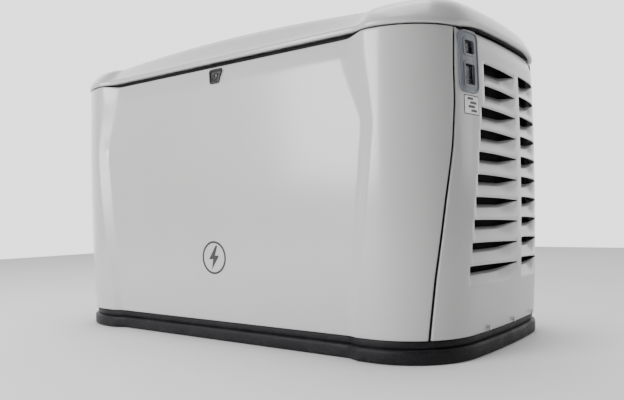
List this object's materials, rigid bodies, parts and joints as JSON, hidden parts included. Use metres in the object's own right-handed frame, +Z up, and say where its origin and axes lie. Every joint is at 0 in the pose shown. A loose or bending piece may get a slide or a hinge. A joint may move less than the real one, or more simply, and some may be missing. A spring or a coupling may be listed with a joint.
{
  "type": "home standby generator",
  "caption": "Home standby generator in a louvred sheet-metal enclosure with a rear-hinged lid, lift-off front panel, air-cooled V-twin engine and alternator.",
  "frame": {"origin": "bottom centre of the whole unit, where the mounting pad stands on its slab", "axes": "+Z up, +X towards the end with the viewing windows, -Y towards the front access panel"},
  "size_m": [1.218, 0.638, 0.7319],
  "materials": {
    "air_filter_box": "grained",
    "air_filter_cover": "grained",
    "alternator_end_bell": "die cast",
    "base_tray": "satin black powder coat",
    "battery_cable_negative": "black sheath",
    "battery_cable_positive": "red sheath",
    "battery_case": "smooth",
    "battery_strap": "black",
    "battery_terminals": "lead",
    "breaker_toggle": "smooth",
    "control_shelf": "galvanised",
    "control_stand": "galvanised",
    "controller_housing": "grained",
    "cooling_fan": "glass filled nylon",
    "crankcase": "die cast",
    "crankshaft": "ground",
    "cylinder_head_front": "die cast",
    "cylinder_head_rear": "die cast",
    "dipstick": "yellow",
    "display_lens": "tinted",
    "divider_panel": "galvanised",
    "exhaust_header": "heat tinted",
    "fixed_hinge_leaves": "satin",
    "flywheel": "machined rim",
    "front_panel": "satin textured powder coat",
    "fuel_hose": "braided cover",
    "fuel_regulator": "die cast",
    "hinge_pins": "bright",
    "intake_manifold": "die cast",
    "isolators": "matt",
    "key_auto": "matt",
    "key_manual": "matt",
    "key_off": "matt",
    "left_side_panel": "satin textured powder coat",
    "lid_hinge_leaves": "satin",
    "lid_liner": "acoustic foam",
    "lid_seal": "matt",
    "lid_shell": "satin textured powder coat",
    "lid_striker": "zinc plated",
    "lock_bezel": "fine grain",
    "lock_cam": "zinc plated",
    "lock_cylinder": "satin",
    "main_breaker": "smooth",
    "mounting_pad": "rough speckled composite",
    "muffler": "aluminised",
    "oil_filter": "gloss blue",
    "panel_screws": "black oxide",
    "rear_panel": "satin textured powder coat",
    "right_side_panel": "satin textured powder coat",
    "rocker_cover_front": "black enamel",
    "rocker_cover_rear": "black enamel",
    "rotor": "varnished laminations",
    "shaft_bearing": "ground",
    "spark_plugs": "black boot over plated hex",
    "starter_motor": "gloss black",
    "starter_pinion": "ground",
    "stator": "laminations",
    "throttle_body": "die cast",
    "window_bezel": "fine grain",
    "window_lenses": "clear"
  },
  "bodies": {
    "enclosure": {"air_filter_box": "air_filter_box", "air_filter_cover": "air_filter_cover", "alternator_end_bell": "alternator_end_bell", "base_tray": "base_tray", "battery_cable_negative": "battery_cable_negative", "battery_cable_positive": "battery_cable_positive", "battery_case": "battery_case", "battery_strap": "battery_strap", "battery_terminals": "battery_terminals", "control_shelf": "control_shelf", "control_stand": "control_stand", "controller_housing": "controller_housing", "crankcase": "crankcase", "cylinder_head_front": "cylinder_head_front", "cylinder_head_rear": "cylinder_head_rear", "display_lens": "display_lens", "divider_panel": "divider_panel", "exhaust_header": "exhaust_header", "fixed_hinge_leaves": "fixed_hinge_leaves", "fuel_hose": "fuel_hose", "fuel_regulator": "fuel_regulator", "hinge_pins": "hinge_pins", "intake_manifold": "intake_manifold", "isolators": "isolators", "left_side_panel": "left_side_panel", "main_breaker": "main_breaker", "mounting_pad": "mounting_pad", "muffler": "muffler", "oil_filter": "oil_filter", "panel_screws": "panel_screws", "rear_panel": "rear_panel", "right_side_panel": "right_side_panel", "rocker_cover_front": "rocker_cover_front", "rocker_cover_rear": "rocker_cover_rear", "shaft_bearing": "shaft_bearing", "spark_plugs": "spark_plugs", "starter_motor": "starter_motor", "stator": "stator", "throttle_body": "throttle_body", "window_bezel": "window_bezel", "window_lenses": "window_lenses"},
    "lid": {"lid_shell": "lid_shell", "lid_liner": "lid_liner", "lid_seal": "lid_seal", "lid_hinge_leaves": "lid_hinge_leaves", "lid_striker": "lid_striker"},
    "access_panel": {"front_panel": "front_panel", "lock_bezel": "lock_bezel"},
    "lock": {"lock_cylinder": "lock_cylinder", "lock_cam": "lock_cam"},
    "crank": {"crankshaft": "crankshaft", "flywheel": "flywheel", "cooling_fan": "cooling_fan", "rotor": "rotor"},
    "pinion": {"starter_pinion": "starter_pinion"},
    "dipstick": {"dipstick": "dipstick"},
    "toggle": {"breaker_toggle": "breaker_toggle"},
    "key_auto": {"key_auto": "key_auto"},
    "key_off": {"key_off": "key_off"},
    "key_manual": {"key_manual": "key_manual"}
  },
  "joints": [
    {"name": "lid_hinge", "type": "hinge", "parent": "enclosure", "child": "lid", "pos_m": [0, 0.3122, 0.6612], "axis": [-1, 0, 0], "range_deg": [0, 95]},
    {"name": "access_panel_liftoff", "type": "slide", "parent": "enclosure", "child": "access_panel", "axis": [0, -1, 0], "range_m": [0, 0.25]},
    {"name": "lock_turn", "type": "hinge", "parent": "access_panel", "child": "lock", "pos_m": [0, -0.303, 0.6345], "axis": [0, 1, 0], "range_deg": [0, 90]},
    {"name": "crank_spin", "type": "hinge", "parent": "enclosure", "child": "crank", "pos_m": [0, 0, 0.245], "axis": [1, 0, 0], "continuous": true},
    {"name": "pinion_throw", "type": "slide", "parent": "enclosure", "child": "pinion", "axis": [-1, 0, 0], "range_m": [0, 0.014]},
    {"name": "dipstick_pull", "type": "slide", "parent": "enclosure", "child": "dipstick", "axis": [0, 0, 1], "range_m": [0, 0.18]},
    {"name": "breaker_switch", "type": "hinge", "parent": "enclosure", "child": "toggle", "pos_m": [0.568, -0.169, 0.575], "axis": [0, 1, 0], "range_deg": [0, 40]},
    {"name": "key_auto_press", "type": "slide", "parent": "enclosure", "child": "key_auto", "axis": [0, 0, -1], "range_m": [0, 0.0015], "stiffness_N_per_m": 400},
    {"name": "key_off_press", "type": "slide", "parent": "enclosure", "child": "key_off", "axis": [0, 0, -1], "range_m": [0, 0.0015], "stiffness_N_per_m": 400},
    {"name": "key_manual_press", "type": "slide", "parent": "enclosure", "child": "key_manual", "axis": [0, 0, -1], "range_m": [0, 0.0015], "stiffness_N_per_m": 400}
  ]
}
